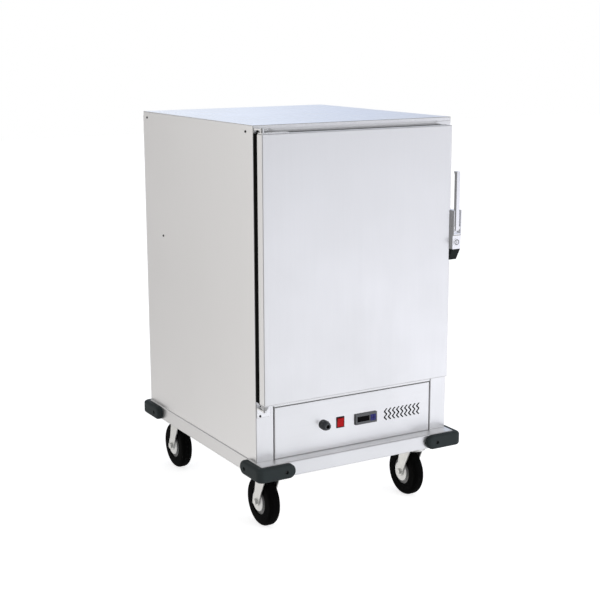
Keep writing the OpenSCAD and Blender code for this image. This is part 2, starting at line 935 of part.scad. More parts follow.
// Loose cover over the fan well, with an intake of round holes and slots for the warm air in its sides.
module air_cover() {
    ring_step = 2 * cover_hole_d;
    slot_step = 2 * cover_slot_w;
    slots = floor((cover_w / 2 - cover_slot_w) / slot_step);
    color(liner_steel) at_well(floor_z) difference() {
        translate([-cover_w / 2, -cover_w / 2, 0]) pan([cover_w, cover_w, cover_h], sheet_t, bend_r);
        cylinder(d = cover_hole_d, h = 2 * cover_h);
        for (ring = [1:2], k = [1:6 * ring]) rotate(k * 60 / ring) translate([ring * ring_step, 0, 0])
            cylinder(d = cover_hole_d, h = 2 * cover_h);
        for (turn = [0, 90], k = [-slots:slots]) rotate(turn) translate([k * slot_step, 0, cover_h / 2])
            cube([cover_slot_w, 2 * cover_w, cover_slot_h], center = true);
    }
}

module temperature_probe() {
    z = ceiling_z - probe_drop;
    color(steel) body_frame() {
        rod_y(well_x, chamber_y - probe_l, z, probe_d, probe_l);
        rod_y(well_x, chamber_y - runner_t, z, probe_flange_d, runner_t);
    }
}

module terminal_box() {
    color(bezel_grey) body_frame() translate(terminal_low) pan_form(terminal_size, terminal_r);
}

// Control panel fittings

// Turns a shape of revolution so that its axis runs forward from the panel.
module on_panel(x, z) {
    body_frame() translate([x, 0, z]) rotate([90, 0, 0]) children();
}

module gland_body() {
    tube_in = 14;
    lock_nut_h = 6;
    lock_nut_rim = 4;
    lock_nut_d = thread_d + 2 * lock_nut_rim;
    neck_h = gland_l / 2;
    color(black) on_panel(gland_x, gland_z) difference() {
        union() {
            cylinder(d = gland_d - 1, h = flange_h);
            cylinder(d = neck_d, h = neck_h);
            translate([0, 0, -tube_in]) cylinder(d = thread_d, h = tube_in);
            translate([0, 0, -sheet_t - lock_nut_h]) cylinder(d = lock_nut_d, h = lock_nut_h, $fn = 6);
        }
        translate([0, 0, -tube_in - over]) cylinder(d = cable_d + 1, h = tube_in + neck_h + 2 * over);
    }
}

// Domed clamping nut with grip flutes.
module gland_nut() {
    back = flange_h + run_gap;
    skirt_up = 2;
    thread_up = 1;
    shoulder = gland_l / 2 + skirt_up;
    inside = gland_l / 2 + thread_up;
    flute_r = 2;
    dome_in = 2;
    dome_h = 7;
    outer_r = gland_d / 2;
    neck_r = neck_d / 2 + run_gap;
    section = [
        [neck_r, back], [outer_r, back], [outer_r, shoulder], [outer_r - dome_in, shoulder + dome_h],
        [gland_mouth_d / 2, gland_l], [cable_d / 2, gland_l],
        [cable_d / 2, gland_l - nut_lip], [neck_r, inside],
    ];
    color(black) on_panel(gland_x, gland_z) difference() {
        rotate_extrude() polygon(section);
        for (k = [1:flute_count]) rotate(k * 360 / flute_count)
            translate([outer_r + flute_r / 2, 0, back + 1]) cylinder(r = flute_r, h = gland_l);
    }
}

module switch_housing() {
    body = [switch_w - 2 * switch_lip, switch_h - 2 * switch_lip];
    well = [switch_w - 2 * switch_wall, switch_h - 2 * switch_wall];
    x = switch_x;
    z = control_z;
    color(black) body_frame() difference() {
        union() {
            facing_front([x - switch_w / 2, z - switch_h / 2], -switch_proud, switch_proud)
                pan_form([switch_w, switch_h, switch_proud], 1);
            block([x - body.x / 2, 0, z - body.y / 2], [x + body.x / 2, switch_depth, z + body.y / 2]);
        }
        block([x - well.x / 2, -switch_proud - over, z - well.y / 2],
              [x + well.x / 2, switch_depth * 0.6, z + well.y / 2]);
        rod_x([x, rocker_y, z], rocker_pin_d + 2 * pin_fit, switch_w);
    }
}

// Rocker with a hollowed face, tipped about its side pins.
module switch_rocker() {
    dip = 2;
    skirt = 1;
    belly = 3;
    face = rocker_y + switch_proud + rocker_proud;
    half = switch_h / 2 - switch_wall - rocker_room;
    width = switch_w - 2 * switch_wall - 2 * run_gap;
    outline = [
        [-face, half], [-face + dip, 0], [-face, -half],
        [-skirt, -half], [belly, -half / 2], [belly, half / 2], [-skirt, half],
    ];
    color(red) body_frame() translate([switch_x, rocker_y, control_z]) rotate([rocker_tilt, 0, 0]) {
        along_x(-width / 2, width) polygon(outline);
        rod_x([0, 0, 0], rocker_pin_d, switch_w - 2 * switch_lip - run_gap);
    }
}

// Centre of key k, counted along the rows from the upper left.
function key_x(k) = controller_x + controller_w / 2 - key_inset + (k % 2 - 0.5) * key_pitch;
function key_z(k) = control_z + (k < 2 ? 0.5 : -0.5) * key_pitch;

module controller_body() {
    low = [controller_x - controller_w / 2, control_z - controller_h / 2];
    body = [controller_w - 2 * controller_lip, controller_h - 2 * controller_lip] / 2;
    key_room = key_w / 2 + run_gap;
    color(bezel_grey) body_frame() difference() {
        union() {
            facing_front(low, -controller_proud, controller_proud)
                pan_form([controller_w, controller_h, controller_proud], controller_edge);
            block([controller_x - body.x, 0, control_z - body.y],
                  [controller_x + body.x, controller_depth, control_z + body.y]);
        }
        translate([low.x + display_inset, -controller_proud - over, control_z - display_h / 2])
            cube([display_w, display_depth + over, display_h]);
        for (k = [0:3]) {
            block([key_x(k) - key_room, -controller_proud - over, key_z(k) - key_room],
                  [key_x(k) + key_room, key_depth - controller_proud, key_z(k) + key_room]);
            rod_y(key_x(k), -controller_proud, key_z(k), key_stem_d + 2 * pin_fit, 2 * key_depth);
        }
    }
}

module controller_display() {
    x = controller_x - controller_w / 2 + display_inset + cut_fit;
    low = [x, control_z - display_h / 2 + cut_fit];
    size = [display_w - 2 * cut_fit, display_h - 2 * cut_fit, display_depth - cut_fit];
    color(black) body_frame() facing_front(low, -controller_proud + cut_fit, size.z) pan_form(size, 0.5);
}

module controller_key(k) {
    back = key_depth - controller_proud - key_travel - run_gap;
    low = [key_x(k), key_z(k)] - [key_w, key_w] / 2;
    depth = back + controller_proud + key_proud;
    color(blue) body_frame() {
        facing_front(low, -controller_proud - key_proud, depth) pan_form([key_w, key_w, depth], 1);
        rod_y(key_x(k), back, key_z(k), key_stem_d, key_depth - key_travel);
    }
}

// Hinges

module hinge_plate(z) {
    outline = [
        [hinge_x - bracket_tip, 0], [hinge_x - bracket_tip + bracket_w, 0],
        [hinge_x + bracket_tip, hinge_y], [hinge_x - bracket_tip, hinge_y],
    ];
    translate([0, 0, z]) linear_extrude(bracket_t) {
        polygon(outline);
        translate([hinge_x, hinge_y]) circle(bracket_tip);
    }
}

module hinge_brackets() {
    x = hinge_x - bracket_tip;
    color(steel) body_frame() difference() {
        for (p = [[low_plate_z, low_flange_h], [high_plate_z, high_flange_h]]) {
            hinge_plate(p[0]);
            block([x, -flange_t, p[0] + bracket_t - p[1]], [x + bracket_w, 0, p[0] + bracket_t]);
        }
        translate([hinge_x, hinge_y, 0]) cylinder(d = pin_d + 2 * pin_fit, h = body_h + bracket_t);
        for (p = bracket_screws) rod_y(p.x, -2 * flange_t, p.y, screw_d + 2 * screw_fit, 3 * flange_t);
    }
}

module hinge_pins() {
    color(chrome) body_frame() translate([hinge_x, hinge_y, 0]) {
        translate([0, 0, low_plate_z - pin_head_h]) cylinder(d = pin_head_d, h = pin_head_h);
        translate([0, 0, low_plate_z]) cylinder(d = pin_d, h = door_z - run_gap - low_plate_z);
        translate([0, 0, high_plate_z + bracket_t]) cylinder(d = pin_head_d, h = pin_head_h);
        translate([0, 0, door_high + run_gap]) cylinder(d = pin_d, h = high_gap + bracket_t - run_gap);
    }
}

module door_hinge_plates() {
    x = hinge_x - bracket_tip;
    y = hinge_y - leaf_w / 2;
    color(steel) body_frame() difference() {
        for (z = [door_z - leaf_t, door_high]) block([x, y, z], [x + leaf_l, y + leaf_w, z + leaf_t]);
        translate([hinge_x, hinge_y, 0]) cylinder(d = pin_d + 2 * pin_fit, h = 2 * body_h);
    }
}

// Bushes round the pins: the lower one widens up to the door.
module hinge_bushes() {
    low = low_plate_z + bracket_t + run_gap;
    high = door_high + leaf_t;
    color(chrome) body_frame() translate([hinge_x, hinge_y, 0]) difference() {
        union() {
            translate([0, 0, low]) cylinder(d1 = bush_d, d2 = bush_wide_d, h = door_z - leaf_t - low);
            translate([0, 0, high]) cylinder(d = bush_d, h = high_plate_z - run_gap - high);
        }
        cylinder(d = pin_d + 2 * pin_fit, h = 2 * body_h);
    }
}

// Door

module door_skin() {
    color(steel) body_frame() front_pan([0, door_z], [door_w, door_high], door_face, door_t);
}

// Inner sheet of the door, with a raised panel that faces the chamber.
module door_liner() {
    edge = sheet_t + seam;
    back = -door_gap;
    dish = [door_w - 2 * dish_edge, door_high - door_z - 2 * dish_edge, dish_d + sheet_t];
    color(liner_steel) body_frame() {
        difference() {
            block([edge, back - sheet_t, door_z + edge], [door_w - edge, back, door_high - edge]);
            block([dish_edge + sheet_t, back - 2 * sheet_t, door_z + dish_edge + sheet_t],
                  [door_w - dish_edge - sheet_t, back + over, door_high - dish_edge - sheet_t]);
        }
        translate([dish_edge, back - sheet_t, door_high - dish_edge]) rotate([-90, 0, 0])
            pan(dish, sheet_t, bend_r);
    }
}

module door_insulation() {
    edge = bend_r + sheet_t;
    color(wool) body_frame() block([edge, door_face + sheet_t, door_z + edge],
                                   [door_w - edge, -door_gap - sheet_t, door_high - edge]);
}

module gasket_ring(inset) {
    edge = gasket_edge + inset;
    low = [edge, door_z + edge];
    high = [door_w - edge, door_high - edge];
    width = gasket_w - inset;
    difference() {
        round_rect(low, high, bend_r);
        translate(low + [width, width]) square(high - low - 2 * [width, width]);
    }
}

// Gasket in two steps: an outer part that clears the post as the door swings, and a sealing lip inside it.
module door_gasket() {
    color(black) body_frame() translate([0, -door_gap, 0]) rotate([90, 0, 0]) mirror([0, 0, 1]) {
        linear_extrude(door_gap - gasket_swing) gasket_ring(0);
        linear_extrude(door_gap - run_gap) gasket_ring(gasket_lip);
    }
}

// Handle

module handle_front() {
    outline = [
        [0, 0], [step_d - handle_d, 0], [step_d - handle_d, step_z],
        [-handle_d, step_z + step_d], [-handle_d, handle_h], [0, handle_h],
    ];
    intersection() {
        translate([0, door_face, handle_z]) along_x(handle_x, handle_w) polygon(outline);
        translate([0, 0, handle_z]) linear_extrude(handle_h)
            round_rect([handle_x, door_face - handle_d], [handle_end, door_face + handle_r], handle_r);
    }
}

// Cast body on the door's edge: a pocket for the lever in front, and a latch case along the door's side.
module handle_body() {
    front = door_face - handle_d - over;
    back = door_face + case_d + over;
    cam_reach = cam_l + cam_room;
    color(chrome) body_frame() difference() {
        union() {
            handle_front();
            block([door_w, door_face - handle_r, handle_z + case_margin],
                  [handle_end, door_face + case_d, handle_z + handle_h - case_margin]);
            rod_y(lock_x, lock_face - lock_ring_h, lock_z, lock_ring_d, 2 * lock_ring_h);
        }
        block([pocket_x, front, pivot_z - pocket_low],
              [pocket_end, door_face - pocket_back, handle_z + handle_h + over]);
        block([slot_x, door_face - 2 * pocket_back, pivot_z - slot_low],
              [slot_x + slot_w, back, handle_z + handle_h - slot_margin]);
        rod_x([handle_x, pivot_y, pivot_z], handle_pin_d + 2 * pin_fit, 3 * handle_w);
        rod_x([handle_x, hook_y, hook_z], handle_pin_d + 2 * pin_fit, 3 * handle_w);
        rod_y(lock_x, front - over, lock_z, lock_d + 2 * pin_fit, handle_d + 2 * over);
        block([lock_x - cam_w / 2 - cam_room, door_face - over, lock_z - cam_reach],
              [lock_x + cam_reach, back, lock_z + cam_reach]);
    }
}

module handle_nose() {
    outline = [[0, 0], [step_d - handle_d, 0], [0, -nose_h]];
    color(black) body_frame() translate([0, door_face, handle_z])
        along_x(handle_x + over, handle_w - 2 * over) polygon(outline);
}

module handle_pins() {
    mid = (handle_x + handle_end) / 2;
    case_mid = (door_w + handle_end) / 2;
    color(zinc) body_frame() {
        rod_x([mid, pivot_y, pivot_z], handle_pin_d, handle_w - 2 * run_gap);
        rod_x([case_mid, hook_y, hook_z], handle_pin_d, handle_end - door_w - 2 * run_gap);
    }
}

// Lever that hangs on its pin in the pocket, with a tail that lifts the latch hook's arm.
module handle_lever() {
    front = pivot_d - handle_d - lever_proud;
    back = front + lever_t;
    low = -lever_hub_r;
    high = lever_l - lever_hub_r;
    pocket_mid = (pocket_x + pocket_end) / 2;
    hub_w = pocket_end - pocket_x - 2 * run_gap;
    outline = [
        [front, low], [front, high], [back + lever_flare, high],
        [back + lever_flare / 2, high - lever_flare], [back, high - 2 * lever_flare], [back, low],
    ];
    color(chrome) body_frame() translate([0, pivot_y, pivot_z]) difference() {
        union() {
            intersection() {
                along_x(lever_x, lever_w) polygon(outline);
                translate([lever_x, handle_w, low]) rotate([90, 0, 0])
                    linear_extrude(2 * handle_w) round_rect([0, 0], [lever_w, lever_l], lever_edge);
            }
            rod_x([pocket_mid, 0, 0], 2 * lever_hub_r, hub_w);
            block([hook_x, 0, -tail_r], [hook_x + hook_w, tail_l, tail_r]);
            rod_x([hook_x + hook_w / 2, tail_l, 0], 2 * tail_r, hook_w);
        }
        rod_x([pocket_mid, 0, 0], handle_pin_d + 2 * pin_fit, 2 * handle_w);
    }
}

// Latch hook: an arm over the lever's tail, a hub on its pin and a tooth under the keeper's lip.
module latch_hook() {
    arm_y = pivot_y + tail_l - hook_y;
    arm_z = pivot_z + tail_r + tail_gap - hook_z;
    arm = [
        [-1, hook_hub_r - 1], [arm_y - tail_r, arm_z + 2 * tail_r], [arm_y - tail_r, arm_z],
        [arm_y + 2 * tail_r, arm_z], [hook_hub_r / 2, 1 - hook_hub_r],
    ];
    color(zinc) body_frame() translate([0, hook_y, hook_z]) difference() {
        along_x(hook_x, hook_w) {
            circle(hook_hub_r);
            polygon(arm);
            translate([0, -hook_tooth]) square([hook_reach, 2 * hook_tooth - 1]);
            translate([hook_reach - hook_tooth, 0]) square([hook_tooth, hook_tooth_h]);
        }
        rod_x([hook_x, 0, 0], handle_pin_d + 2 * pin_fit, 4 * hook_w);
    }
}

// Keeper on the front post, whose lip hangs in front of the hook's tooth.
module keeper() {
    lip_y = hook_y + hook_reach - hook_tooth - keeper_t;
    lip_z = hook_z + hook_tooth_h + keeper_gap;
    high = lip_z + keeper_h;
    outline = [
        [0, lip_z + keeper_t], [0, high], [lip_y - keeper_lip, high], [lip_y - keeper_lip, lip_z],
        [lip_y, lip_z], [lip_y, high - 2 * keeper_t],
        [-keeper_t, high - 2 * keeper_t], [-keeper_t, lip_z + keeper_t],
    ];
    color(zinc) body_frame() along_x((door_w + handle_end - keeper_w) / 2, keeper_w) polygon(outline);
}

// Lock plug with a key slot in front and a cam behind.
module lock_cylinder() {
    front = lock_face - lock_ring_h - run_gap;
    cam_y = door_face + cam_t;
    slot_d = 3;
    color(chrome) body_frame() difference() {
        union() {
            rod_y(lock_x, front, lock_z, lock_d, door_face - over - run_gap - front);
            rod_y(lock_x, front, lock_z, cam_w, cam_y + cam_t - front);
            block([lock_x - cam_w / 2, cam_y, lock_z - cam_l], [lock_x + cam_w / 2, cam_y + cam_t, lock_z]);
        }
        block([lock_x - over, front - over, lock_z - lock_d / 4],
              [lock_x + over, front + slot_d, lock_z + lock_d / 4]);
    }
}

base_tray();
castor_rails();
corner_bumpers();
castor_plates();
castor_bolts();
casing_screws();
side_panel_left();
side_panel_right();
top_panel();
back_panel();
front_rails();
control_panel();
chamber_liner();
insulation();
plant_deck();
heater_element();
fan_motor();
fan_impeller();
air_cover();
temperature_probe();
terminal_box();
rack_uprights();
tray_runners();
gland_body();
gland_nut();
switch_housing();
switch_rocker();
controller_body();
controller_display();
controller_key(0);  // controller_key_1
controller_key(1);  // controller_key_2
controller_key(2);  // controller_key_3
controller_key(3);  // controller_key_4
hinge_brackets();
hinge_pins();
keeper();
door_skin();
door_liner();
door_insulation();
door_gasket();
door_hinge_plates();
hinge_bushes();
handle_body();
handle_nose();
handle_pins();
handle_lever();
latch_hook();
lock_cylinder();
castor_fork(0);  // castor_fork_front_left
castor_fork(1);  // castor_fork_front_right
castor_fork(2);  // castor_fork_rear_left
castor_fork(3);  // castor_fork_rear_right
castor_wheel(0);  // castor_wheel_front_left
castor_wheel(1);  // castor_wheel_front_right
castor_wheel(2);  // castor_wheel_rear_left
castor_wheel(3);  // castor_wheel_rear_right
castor_tyre(0);  // castor_tyre_front_left
castor_tyre(1);  // castor_tyre_front_right
castor_tyre(2);  // castor_tyre_rear_left
castor_tyre(3);  // castor_tyre_rear_right
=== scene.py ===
"""Looks of a mobile hot cupboard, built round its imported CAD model. Lengths are in metres."""
import math

import bmesh
import bpy
from mathutils import Matrix, Vector


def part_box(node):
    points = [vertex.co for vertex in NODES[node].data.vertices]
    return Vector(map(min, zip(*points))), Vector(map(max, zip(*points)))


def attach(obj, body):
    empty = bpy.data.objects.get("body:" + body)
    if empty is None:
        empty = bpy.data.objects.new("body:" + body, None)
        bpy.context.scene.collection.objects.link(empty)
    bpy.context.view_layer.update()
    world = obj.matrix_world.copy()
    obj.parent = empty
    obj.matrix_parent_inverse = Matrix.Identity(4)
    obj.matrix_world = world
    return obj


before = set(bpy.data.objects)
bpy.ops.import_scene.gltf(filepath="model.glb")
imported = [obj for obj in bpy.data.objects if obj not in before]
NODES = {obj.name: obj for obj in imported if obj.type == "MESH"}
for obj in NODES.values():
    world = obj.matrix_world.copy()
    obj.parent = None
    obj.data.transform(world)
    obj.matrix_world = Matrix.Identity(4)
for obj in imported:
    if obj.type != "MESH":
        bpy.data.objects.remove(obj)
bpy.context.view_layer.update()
CORNERS = ("front_left", "front_right", "rear_left", "rear_right")
KEYS = tuple(f"controller_key_{k}" for k in range(1, 5))
X, Y, Z = range(3)
scene = bpy.context.scene


# Materials

EDGE_SAMPLES = 6
# Keeps the brushed direction defined on faces square to the grain
TANGENT_TILT = (0.011, 0.013, 0.017)


class Surface:
    """A Principled material whose detail comes from textures in the object's own coordinates."""

    def __init__(self, name, colour, roughness, metallic=0.0, specular=0.5):
        self.material = bpy.data.materials.new(name)
        self.material.use_nodes = True
        self.tree = self.material.node_tree
        self.shader = self.tree.nodes["Principled BSDF"]
        self.coords = self.tree.nodes.new("ShaderNodeTexCoord").outputs
        self.colour = colour
        self.shader.inputs["Base Color"].default_value = (*colour, 1)
        self.shader.inputs["Roughness"].default_value = roughness
        self.shader.inputs["Metallic"].default_value = metallic
        self.shader.inputs["Specular IOR Level"].default_value = specular
        self.last_normal = None

    def node(self, kind, **settings):
        made = self.tree.nodes.new(kind)
        for key, value in settings.items():
            setattr(made, key, value)
        return made

    def link(self, out, into):
        self.tree.links.new(out, into)

    def noise(self, scale, detail=2.0, roughness=0.5):
        """Noise from 0 to 1. scale is cells per metre, as one number or one for each axis."""
        mapping = self.node("ShaderNodeMapping")
        mapping.inputs["Scale"].default_value = scale if isinstance(scale, tuple) else (scale,) * 3
        self.link(self.coords["Object"], mapping.inputs["Vector"])
        made = self.node("ShaderNodeTexNoise")
        made.inputs["Scale"].default_value = 1.0
        made.inputs["Detail"].default_value = detail
        made.inputs["Roughness"].default_value = roughness
        self.link(mapping.outputs["Vector"], made.inputs["Vector"])
        return made.outputs["Fac"]

    def spread(self, value, low, high, start=0.3, end=0.7):
        """Maps value from start..end to low..high."""
        made = self.node("ShaderNodeMapRange")
        for key, number in (("From Min", start), ("From Max", end), ("To Min", low), ("To Max", high)):
            made.inputs[key].default_value = number
        self.link(value, made.inputs["Value"])
        return made.outputs["Result"]

    def add(self, a, b):
        made = self.node("ShaderNodeMath", operation="ADD")
        self.link(a, made.inputs[0])
        self.link(b, made.inputs[1])
        return made.outputs["Value"]

    def tint(self, value, other):
        """Blends the base colour towards another one where value is high."""
        mix = self.node("ShaderNodeMix", data_type="RGBA")
        base = self.shader.inputs["Base Color"]
        if base.is_linked:
            self.link(base.links[0].from_socket, mix.inputs["A"])
        else:
            mix.inputs["A"].default_value = (*self.colour, 1)
        mix.inputs["B"].default_value = (*other, 1)
        self.link(value, mix.inputs["Factor"])
        self.link(mix.outputs["Result"], base)

    def roughen(self, value):
        self.link(value, self.shader.inputs["Roughness"])

    def soften(self, radius):
        """Shades the edges as if they were rounded to this radius."""
        made = self.node("ShaderNodeBevel", samples=EDGE_SAMPLES)
        made.inputs["Radius"].default_value = radius
        self.last_normal = made.outputs["Normal"]
        self.link(self.last_normal, self.shader.inputs["Normal"])

    def brush(self, grain, amount):
        """Spreads reflections across the grain, which runs along one or two axes of the object."""
        along = self.node("ShaderNodeVectorTransform", vector_type="VECTOR", convert_from="OBJECT",
                          convert_to="WORLD")
        along.inputs["Vector"].default_value = tuple(float(axis in grain) for axis in "XYZ")
        across = self.node("ShaderNodeVectorMath", operation="CROSS_PRODUCT")
        self.link(self.node("ShaderNodeNewGeometry").outputs["Normal"], across.inputs[0])
        self.link(along.outputs["Vector"], across.inputs[1])
        tilted = self.node("ShaderNodeVectorMath", operation="ADD")
        self.link(across.outputs["Vector"], tilted.inputs[0])
        tilted.inputs[1].default_value = TANGENT_TILT
        self.link(tilted.outputs["Vector"], self.shader.inputs["Tangent"])
        self.shader.inputs["Anisotropic"].default_value = amount

    def bump(self, height, depth, strength):
        made = self.node("ShaderNodeBump")
        made.inputs["Distance"].default_value = depth
        made.inputs["Strength"].default_value = strength
        self.link(height, made.inputs["Height"])
        if self.last_normal:
            self.link(self.last_normal, made.inputs["Normal"])
        self.last_normal = made.outputs["Normal"]
        self.link(self.last_normal, self.shader.inputs["Normal"])


def scaled(colour, factor):
    return tuple(min(1.0, c * factor) for c in colour)


# Radius to which the edges of folded sheets, and of small pressed or moulded pieces, are shaded
SHEET_EDGE = 0.0016
MOULDED_EDGE = 0.0006
# Brushed steel: how much it is metal, how far the grain spreads reflections, and the grain's own depth
STEEL_METALLIC = 0.9
BRUSH = 0.2
GRAIN_DEPTH = 0.00002
# Cells per metre of brushed steel's grain, of its smudges and of its slow changes of tone
GRAIN_ACROSS = 1400.0
GRAIN_ALONG = 5.0
SMUDGE_CELLS = 3.5
TONE_CELLS = 1.3


def brushed(name, colour, grain, roughness=0.34, edge=SHEET_EDGE):
    """Brushed steel with its grain along the named axes, faint smudges and slow changes of tone."""
    made = Surface(name, colour, roughness, STEEL_METALLIC)
    if edge:
        made.soften(edge)
    made.brush(grain, BRUSH)
    scale = tuple(GRAIN_ALONG if axis in grain else GRAIN_ACROSS for axis in "XYZ")
    streaks = made.noise(scale, detail=3.0, roughness=0.65)
    smudges = made.noise(SMUDGE_CELLS, detail=4.0, roughness=0.6)
    tones = made.noise(TONE_CELLS, detail=1.0)
    made.tint(made.spread(streaks, 0.0, 0.5), scaled(colour, 0.95))
    made.tint(made.spread(tones, 0.0, 0.5), scaled(colour, 0.97))
    fine = made.spread(streaks, roughness - 0.04, roughness + 0.04)
    made.roughen(made.add(fine, made.spread(smudges, -0.03, 0.04)))
    made.bump(streaks, GRAIN_DEPTH, strength=0.3)
    return made.material


PLATED_METALLIC = 0.8
MOTTLE_CELLS = 140.0
MOTTLE_DEPTH = 0.00006
STAIN_CELLS = 60.0


def plated(name, colour, roughness=0.36):
    """Zinc plated or pressed steel with a fine crystal mottle."""
    made = Surface(name, colour, roughness, PLATED_METALLIC)
    made.soften(MOULDED_EDGE)
    mottle = made.noise(MOTTLE_CELLS, detail=3.0)
    made.tint(made.spread(mottle, 0.0, 0.6), scaled(colour, 0.9))
    made.roughen(made.spread(made.noise(STAIN_CELLS), roughness - 0.06, roughness + 0.1))
    made.bump(mottle, MOTTLE_DEPTH, strength=0.4)
    return made.material


DUST_CELLS = 14.0


def moulded(name, colour, roughness, grain=900.0, depth=0.00008, dust=0.35, specular=0.5):
    """Moulded plastic or rubber with a fine grain, in cells per metre, and a little dust."""
    made = Surface(name, colour, roughness, specular=specular)
    made.soften(MOULDED_EDGE)
    pores = made.noise(grain)
    patches = made.noise(DUST_CELLS, detail=4.0, roughness=0.6)
    made.tint(made.spread(patches, 0.0, dust), scaled(colour, 1.3))
    made.roughen(made.spread(patches, roughness - 0.05, roughness + 0.07))
    made.bump(pores, depth, strength=0.5)
    return made.material


HAIR_CELLS = (900.0, 900.0, 40.0)
HAIR_DEPTH = 0.00001
BLUSH_CELLS = 30.0


def polished(name, colour, roughness):
    """Bright chrome with hairline scratches."""
    made = Surface(name, colour, roughness, metallic=1.0)
    made.soften(MOULDED_EDGE)
    hairs = made.noise(HAIR_CELLS)
    made.tint(made.spread(made.noise(BLUSH_CELLS), 0.0, 0.5), scaled(colour, 0.94))
    made.roughen(made.spread(hairs, roughness - 0.04, roughness + 0.06))
    made.bump(hairs, HAIR_DEPTH, strength=0.4)
    return made.material


# Where the wheel's ring of painted shade begins and where it is full, as shares of the wheel centre's
# width. The ring stands in for the shade in the recess outside the raised disc
SHADE_RING_START = 0.374
SHADE_RING_FULL = 0.380
WHEEL_METALLIC = 0.7
SPECK_CELLS = 220.0
SPECK_DEPTH = 0.00004


def wheel_finish(name, colour, ring, roughness):
    """Silvery wheel centre with a darker ring outside its raised disc, which is painted shade of the recess
    there.
    """
    made = Surface(name, colour, roughness, WHEEL_METALLIC)
    made.soften(MOULDED_EDGE)
    away = made.node("ShaderNodeVectorMath", operation="SUBTRACT")
    made.link(made.coords["Generated"], away.inputs[0])
    away.inputs[1].default_value = (0.5, 0.5, 0.5)
    flat = made.node("ShaderNodeVectorMath", operation="MULTIPLY")
    made.link(away.outputs["Vector"], flat.inputs[0])
    flat.inputs[1].default_value = (0.0, 1.0, 1.0)
    radius = made.node("ShaderNodeVectorMath", operation="LENGTH")
    made.link(flat.outputs["Vector"], radius.inputs[0])
    specks = made.noise(SPECK_CELLS)
    made.tint(made.spread(specks, 0.0, 0.4), scaled(colour, 0.93))
    # Painted shade: the recess outside the raised disc is tinted dark rather than shaded by the light
    made.tint(made.spread(radius.outputs["Value"], 0.0, 1.0, SHADE_RING_START, SHADE_RING_FULL), ring)
    made.roughen(made.spread(specks, roughness - 0.04, roughness + 0.06))
    made.bump(specks, SPECK_DEPTH, strength=0.4)
    return made.material


FIBRE_CELLS = (220.0, 30.0, 220.0)
FIBRE_DEPTH = 0.001


def wool(name, colour):
    """Matted mineral fibres that run along Y."""
    made = Surface(name, colour, roughness=0.9)
    fibres = made.noise(FIBRE_CELLS, detail=4.0, roughness=0.7)
    made.tint(made.spread(fibres, 0.0, 0.7), scaled(colour, 0.6))
    made.bump(fibres, FIBRE_DEPTH, strength=0.7)
    return made.material


STEEL = (0.90, 0.90, 0.905)
LINER = (0.70, 0.71, 0.73)
ZINC = (0.88, 0.88, 0.86)

steel_door = brushed("steel_door", STEEL, "Z", 0.36, edge=0.0022)
steel_side = brushed("steel_side", STEEL, "Z", edge=0.0022)
steel_top = brushed("steel_top", STEEL, "Y", 0.26, edge=0.0018)
steel_platform = brushed("steel_platform", scaled(STEEL, 0.93), "XY", edge=0.003)
steel_panel = brushed("steel_panel", STEEL, "X", edge=0.0005)
front_cover_steel = brushed("front_cover_steel", STEEL, "X", edge=None)
side_cover_steel = brushed("side_cover_steel", STEEL, "Z", edge=None)
hinge_steel = brushed("hinge_steel", STEEL, "X", 0.22)
liner_steel = brushed("liner_steel", LINER, "Z", 0.36)
plated_steel = plated("plated_steel", ZINC)
dark_steel = plated("dark_steel", (0.06, 0.06, 0.06), 0.45)
bumper_rubber = moulded("bumper_rubber", (0.042, 0.052, 0.054), 0.6, grain=700.0, specular=0.15)
gasket_rubber = moulded("gasket_rubber", (0.003, 0.003, 0.003), 0.7, specular=0.03)
bead_rubber = moulded("bead_rubber", (0.20, 0.20, 0.20), 0.6, specular=0.2)
tyre_rubber = moulded("tyre_rubber", (0.003, 0.003, 0.003), 0.75, grain=500.0, depth=0.00015, specular=0.04)
# The dark ring colour on the wheel centres is painted shade of the recess round their raised discs
wheel_plastic = wheel_finish("wheel_plastic", (0.90, 0.90, 0.89), ring=(0.18, 0.18, 0.18), roughness=0.42)
black_plastic = moulded("black_plastic", (0.022, 0.026, 0.030), 0.4, specular=0.35)
gland_plastic = moulded("gland_plastic", (0.062, 0.068, 0.075), 0.38)
# The handle's nose is near black as painted shade of its face, which slopes down and back to the door
nose_painted_shade = moulded("nose_painted_shade", (0.008, 0.012, 0.012), 0.5, specular=0.2)
red_plastic = moulded("red_plastic", (0.64, 0.005, 0.008), 0.35, grain=300.0, depth=0.00002, dust=0.1,
                      specular=0.2)
blue_plastic = moulded("blue_plastic", (0.016, 0.018, 0.22), 0.4, grain=800.0, depth=0.00004, dust=0.2)
grey_plastic = moulded("grey_plastic", (0.15, 0.155, 0.165), 0.45, specular=0.3)
pad_plastic = moulded("pad_plastic", (0.075, 0.08, 0.27), 0.45, grain=800.0, depth=0.00004, dust=0.2)
display_plastic = moulded("display_plastic", (0.002, 0.002, 0.003), 0.2, grain=200.0, depth=0.00001,
                          dust=0.1, specular=0.04)
chrome = polished("chrome", (0.80, 0.80, 0.81), 0.2)
mineral_wool = wool("mineral_wool", (0.72, 0.64, 0.40))

